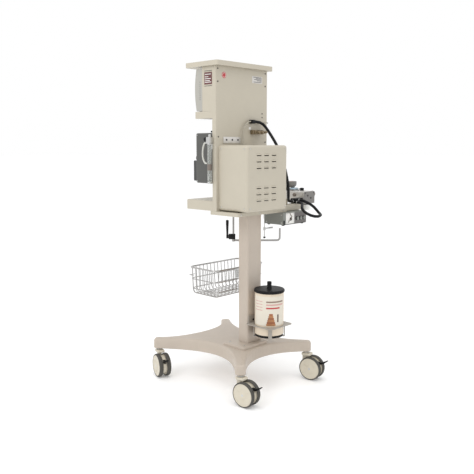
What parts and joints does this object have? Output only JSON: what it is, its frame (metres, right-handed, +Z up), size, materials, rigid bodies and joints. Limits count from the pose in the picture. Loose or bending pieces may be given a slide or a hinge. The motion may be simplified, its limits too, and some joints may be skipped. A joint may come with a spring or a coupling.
{
  "type": "anaesthesia workstation on a column trolley",
  "caption": "Anaesthetic ventilator cabinet with vaporizer, flowmeter and breathing head on a castered column trolley with basket and canister.",
  "frame": {"origin": "on the floor, under the middle of the column", "axes": "+Z up, -Y to the operator's side with the display, +X to the operator's right"},
  "size_m": [0.6277, 0.623, 1.3254],
  "materials": {
    "ivory_paint": "satin",
    "casting_paint": "satin",
    "black_plastic": "matte",
    "white_plastic": "satin",
    "bright_steel": "satin",
    "rod_steel": "satin",
    "tyre_rubber": "matte",
    "canister_shell": "satin",
    "holder_paint": "satin",
    "board_green": "satin",
    "bezel_grey": "matte",
    "screen_glass": "gloss",
    "zinc_plate": "satin",
    "anodised_aluminium": "satin",
    "brass": "satin",
    "vaporizer_grey": "satin",
    "filler_dark": "satin",
    "clear_tube": "gloss",
    "float_black": "satin",
    "block_aluminium": "satin",
    "dome_blue_clear": "gloss",
    "gauge_grey": "satin",
    "knob_brown": "satin",
    "bowl_clear": "gloss",
    "case_grey": "satin",
    "hose_black": "matte",
    "cable_grey": "matte",
    "tubing_white": "satin"
  },
  "bodies": {
    "workstation": {"base_casting": "casting_paint", "column": "casting_paint", "support_plate": "ivory_paint", "basket": "bright_steel", "basket_bracket": "bright_steel", "canister_body": "canister_shell", "canister_lid": "black_plastic", "canister_holder": "holder_paint", "tower_shell": "ivory_paint", "rear_panel": "ivory_paint", "top_shelf": "ivory_paint", "display_shelf": "ivory_paint", "control_board": "board_green", "display_bezel": "bezel_grey", "display_screen": "screen_glass", "rear_cover": "ivory_paint", "power_supply": "zinc_plate", "gas_manifold": "anodised_aluminium", "rear_port_block": "black_plastic", "gas_inlet": "brass", "worktop": "ivory_paint", "back_bar": "bright_steel", "vaporizer_body": "vaporizer_grey", "vaporizer_filler": "filler_dark", "flowmeter_valve": "bright_steel", "flowmeter_tube": "clear_tube", "mount_arm": "ivory_paint", "breathing_block": "block_aluminium", "hose_manifold": "black_plastic", "valve_dome": "dome_blue_clear", "pressure_gauge": "gauge_grey", "absorber_bowl": "bowl_clear", "suction_case": "case_grey", "drain_valve": "bright_steel", "clamp_post": "rod_steel", "rear_hose": "hose_black", "loop_hose": "hose_black", "rear_cable": "cable_grey", "flowmeter_hose": "tubing_white"},
    "caster_rear_right": {"caster_rear_right_fork": "white_plastic"},
    "wheels_rear_right": {"caster_rear_right_wheels": "tyre_rubber"},
    "brake_rear_right": {"caster_rear_right_brake": "black_plastic"},
    "caster_rear_left": {"caster_rear_left_fork": "white_plastic"},
    "wheels_rear_left": {"caster_rear_left_wheels": "tyre_rubber"},
    "brake_rear_left": {"caster_rear_left_brake": "black_plastic"},
    "caster_front_right": {"caster_front_right_fork": "white_plastic"},
    "wheels_front_right": {"caster_front_right_wheels": "tyre_rubber"},
    "brake_front_right": {"caster_front_right_brake": "black_plastic"},
    "caster_front_left": {"caster_front_left_fork": "white_plastic"},
    "wheels_front_left": {"caster_front_left_wheels": "tyre_rubber"},
    "brake_front_left": {"caster_front_left_brake": "black_plastic"},
    "menu_knob": {"menu_knob": "black_plastic"},
    "vaporizer_dial": {"vaporizer_dial": "black_plastic"},
    "vaporizer_lock": {"vaporizer_lock": "black_plastic"},
    "flowmeter_knob": {"flowmeter_knob": "black_plastic"},
    "flowmeter_float": {"flowmeter_float": "float_black"},
    "selector_knob": {"selector_knob": "black_plastic"},
    "pressure_limit_knob": {"pressure_limit_knob": "knob_brown"},
    "swing_arm": {"swing_arm": "rod_steel"},
    "clamp_lever": {"clamp_lever": "black_plastic"}
  },
  "joints": [
    {"name": "swivel_rear_right", "type": "hinge", "parent": "workstation", "child": "caster_rear_right", "pos_m": [0.206, 0.142, 0.118], "axis": [0, 0, 1], "continuous": true},
    {"name": "wheel_rear_right", "type": "hinge", "parent": "caster_rear_right", "child": "wheels_rear_right", "pos_m": [0.20365, 0.17191, 0.05], "axis": [0.9969, 0.0785, 0], "continuous": true},
    {"name": "brake_rear_right", "type": "hinge", "parent": "caster_rear_right", "child": "brake_rear_right", "pos_m": [0.20192, 0.19384, 0.0751], "axis": [0.9969, 0.0785, 0], "range_deg": [-15, 0]},
    {"name": "swivel_rear_left", "type": "hinge", "parent": "workstation", "child": "caster_rear_left", "pos_m": [-0.206, 0.142, 0.118], "axis": [0, 0, 1], "continuous": true},
    {"name": "wheel_rear_left", "type": "hinge", "parent": "caster_rear_left", "child": "wheels_rear_left", "pos_m": [-0.21121, 0.17154, 0.05], "axis": [0.9848, 0.1736, 0], "continuous": true},
    {"name": "brake_rear_left", "type": "hinge", "parent": "caster_rear_left", "child": "brake_rear_left", "pos_m": [-0.21503, 0.19321, 0.0751], "axis": [0.9848, 0.1736, 0], "range_deg": [-15, 0]},
    {"name": "swivel_front_right", "type": "hinge", "parent": "workstation", "child": "caster_front_right", "pos_m": [0.206, -0.35, 0.118], "axis": [0, 0, 1], "continuous": true},
    {"name": "wheel_front_right", "type": "hinge", "parent": "caster_front_right", "child": "wheels_front_right", "pos_m": [0.21626, -0.32181, 0.05], "axis": [0.9397, -0.342, 0], "continuous": true},
    {"name": "brake_front_right", "type": "hinge", "parent": "caster_front_right", "child": "brake_front_right", "pos_m": [0.22379, -0.30114, 0.0751], "axis": [0.9397, -0.342, 0], "range_deg": [-15, 0]},
    {"name": "swivel_front_left", "type": "hinge", "parent": "workstation", "child": "caster_front_left", "pos_m": [-0.206, -0.35, 0.118], "axis": [0, 0, 1], "continuous": true},
    {"name": "wheel_front_left", "type": "hinge", "parent": "caster_front_left", "child": "wheels_front_left", "pos_m": [-0.21326, -0.32089, 0.05], "axis": [0.9703, 0.2419, 0], "continuous": true},
    {"name": "brake_front_left", "type": "hinge", "parent": "caster_front_left", "child": "brake_front_left", "pos_m": [-0.21858, -0.29955, 0.0751], "axis": [0.9703, 0.2419, 0], "range_deg": [-15, 0]},
    {"name": "menu_turn", "type": "hinge", "parent": "workstation", "child": "menu_knob", "pos_m": [0.1165, -0.1648, 1.195], "axis": [0, -1, 0], "continuous": true},
    {"name": "dial_turn", "type": "hinge", "parent": "workstation", "child": "vaporizer_dial", "pos_m": [0.078, -0.1873, 1.004], "axis": [0, -1, 0], "range_deg": [0, 270]},
    {"name": "lock_turn", "type": "hinge", "parent": "workstation", "child": "vaporizer_lock", "pos_m": [0.078, -0.105, 1.0488], "axis": [0, 0, 1], "range_deg": [-90, 0]},
    {"name": "flow_turn", "type": "hinge", "parent": "workstation", "child": "flowmeter_knob", "pos_m": [0.1635, -0.0793, 1.0225], "axis": [0, -1, 0], "range_deg": [0, 720]},
    {"name": "float_rise", "type": "slide", "parent": "workstation", "child": "flowmeter_float", "axis": [0, 0, 1], "range_m": [0, 0.125]},
    {"name": "selector_turn", "type": "hinge", "parent": "workstation", "child": "selector_knob", "pos_m": [-0.335, 0.0065, 0.7998], "axis": [0, 0, 1], "range_deg": [0, 90]},
    {"name": "limit_turn", "type": "hinge", "parent": "workstation", "child": "pressure_limit_knob", "pos_m": [-0.3573, 0.044, 0.785], "axis": [-1, 0, 0], "range_deg": [0, 300]},
    {"name": "arm_swing", "type": "hinge", "parent": "workstation", "child": "swing_arm", "pos_m": [0.0035, -0.0923, 0.6], "axis": [0, 0, 1], "range_deg": [0, 110]},
    {"name": "clamp_turn", "type": "hinge", "parent": "workstation", "child": "clamp_lever", "pos_m": [0.01757, -0.10694, 0.6162], "axis": [0.693, -0.721, 0], "range_deg": [0, 90]}
  ]
}
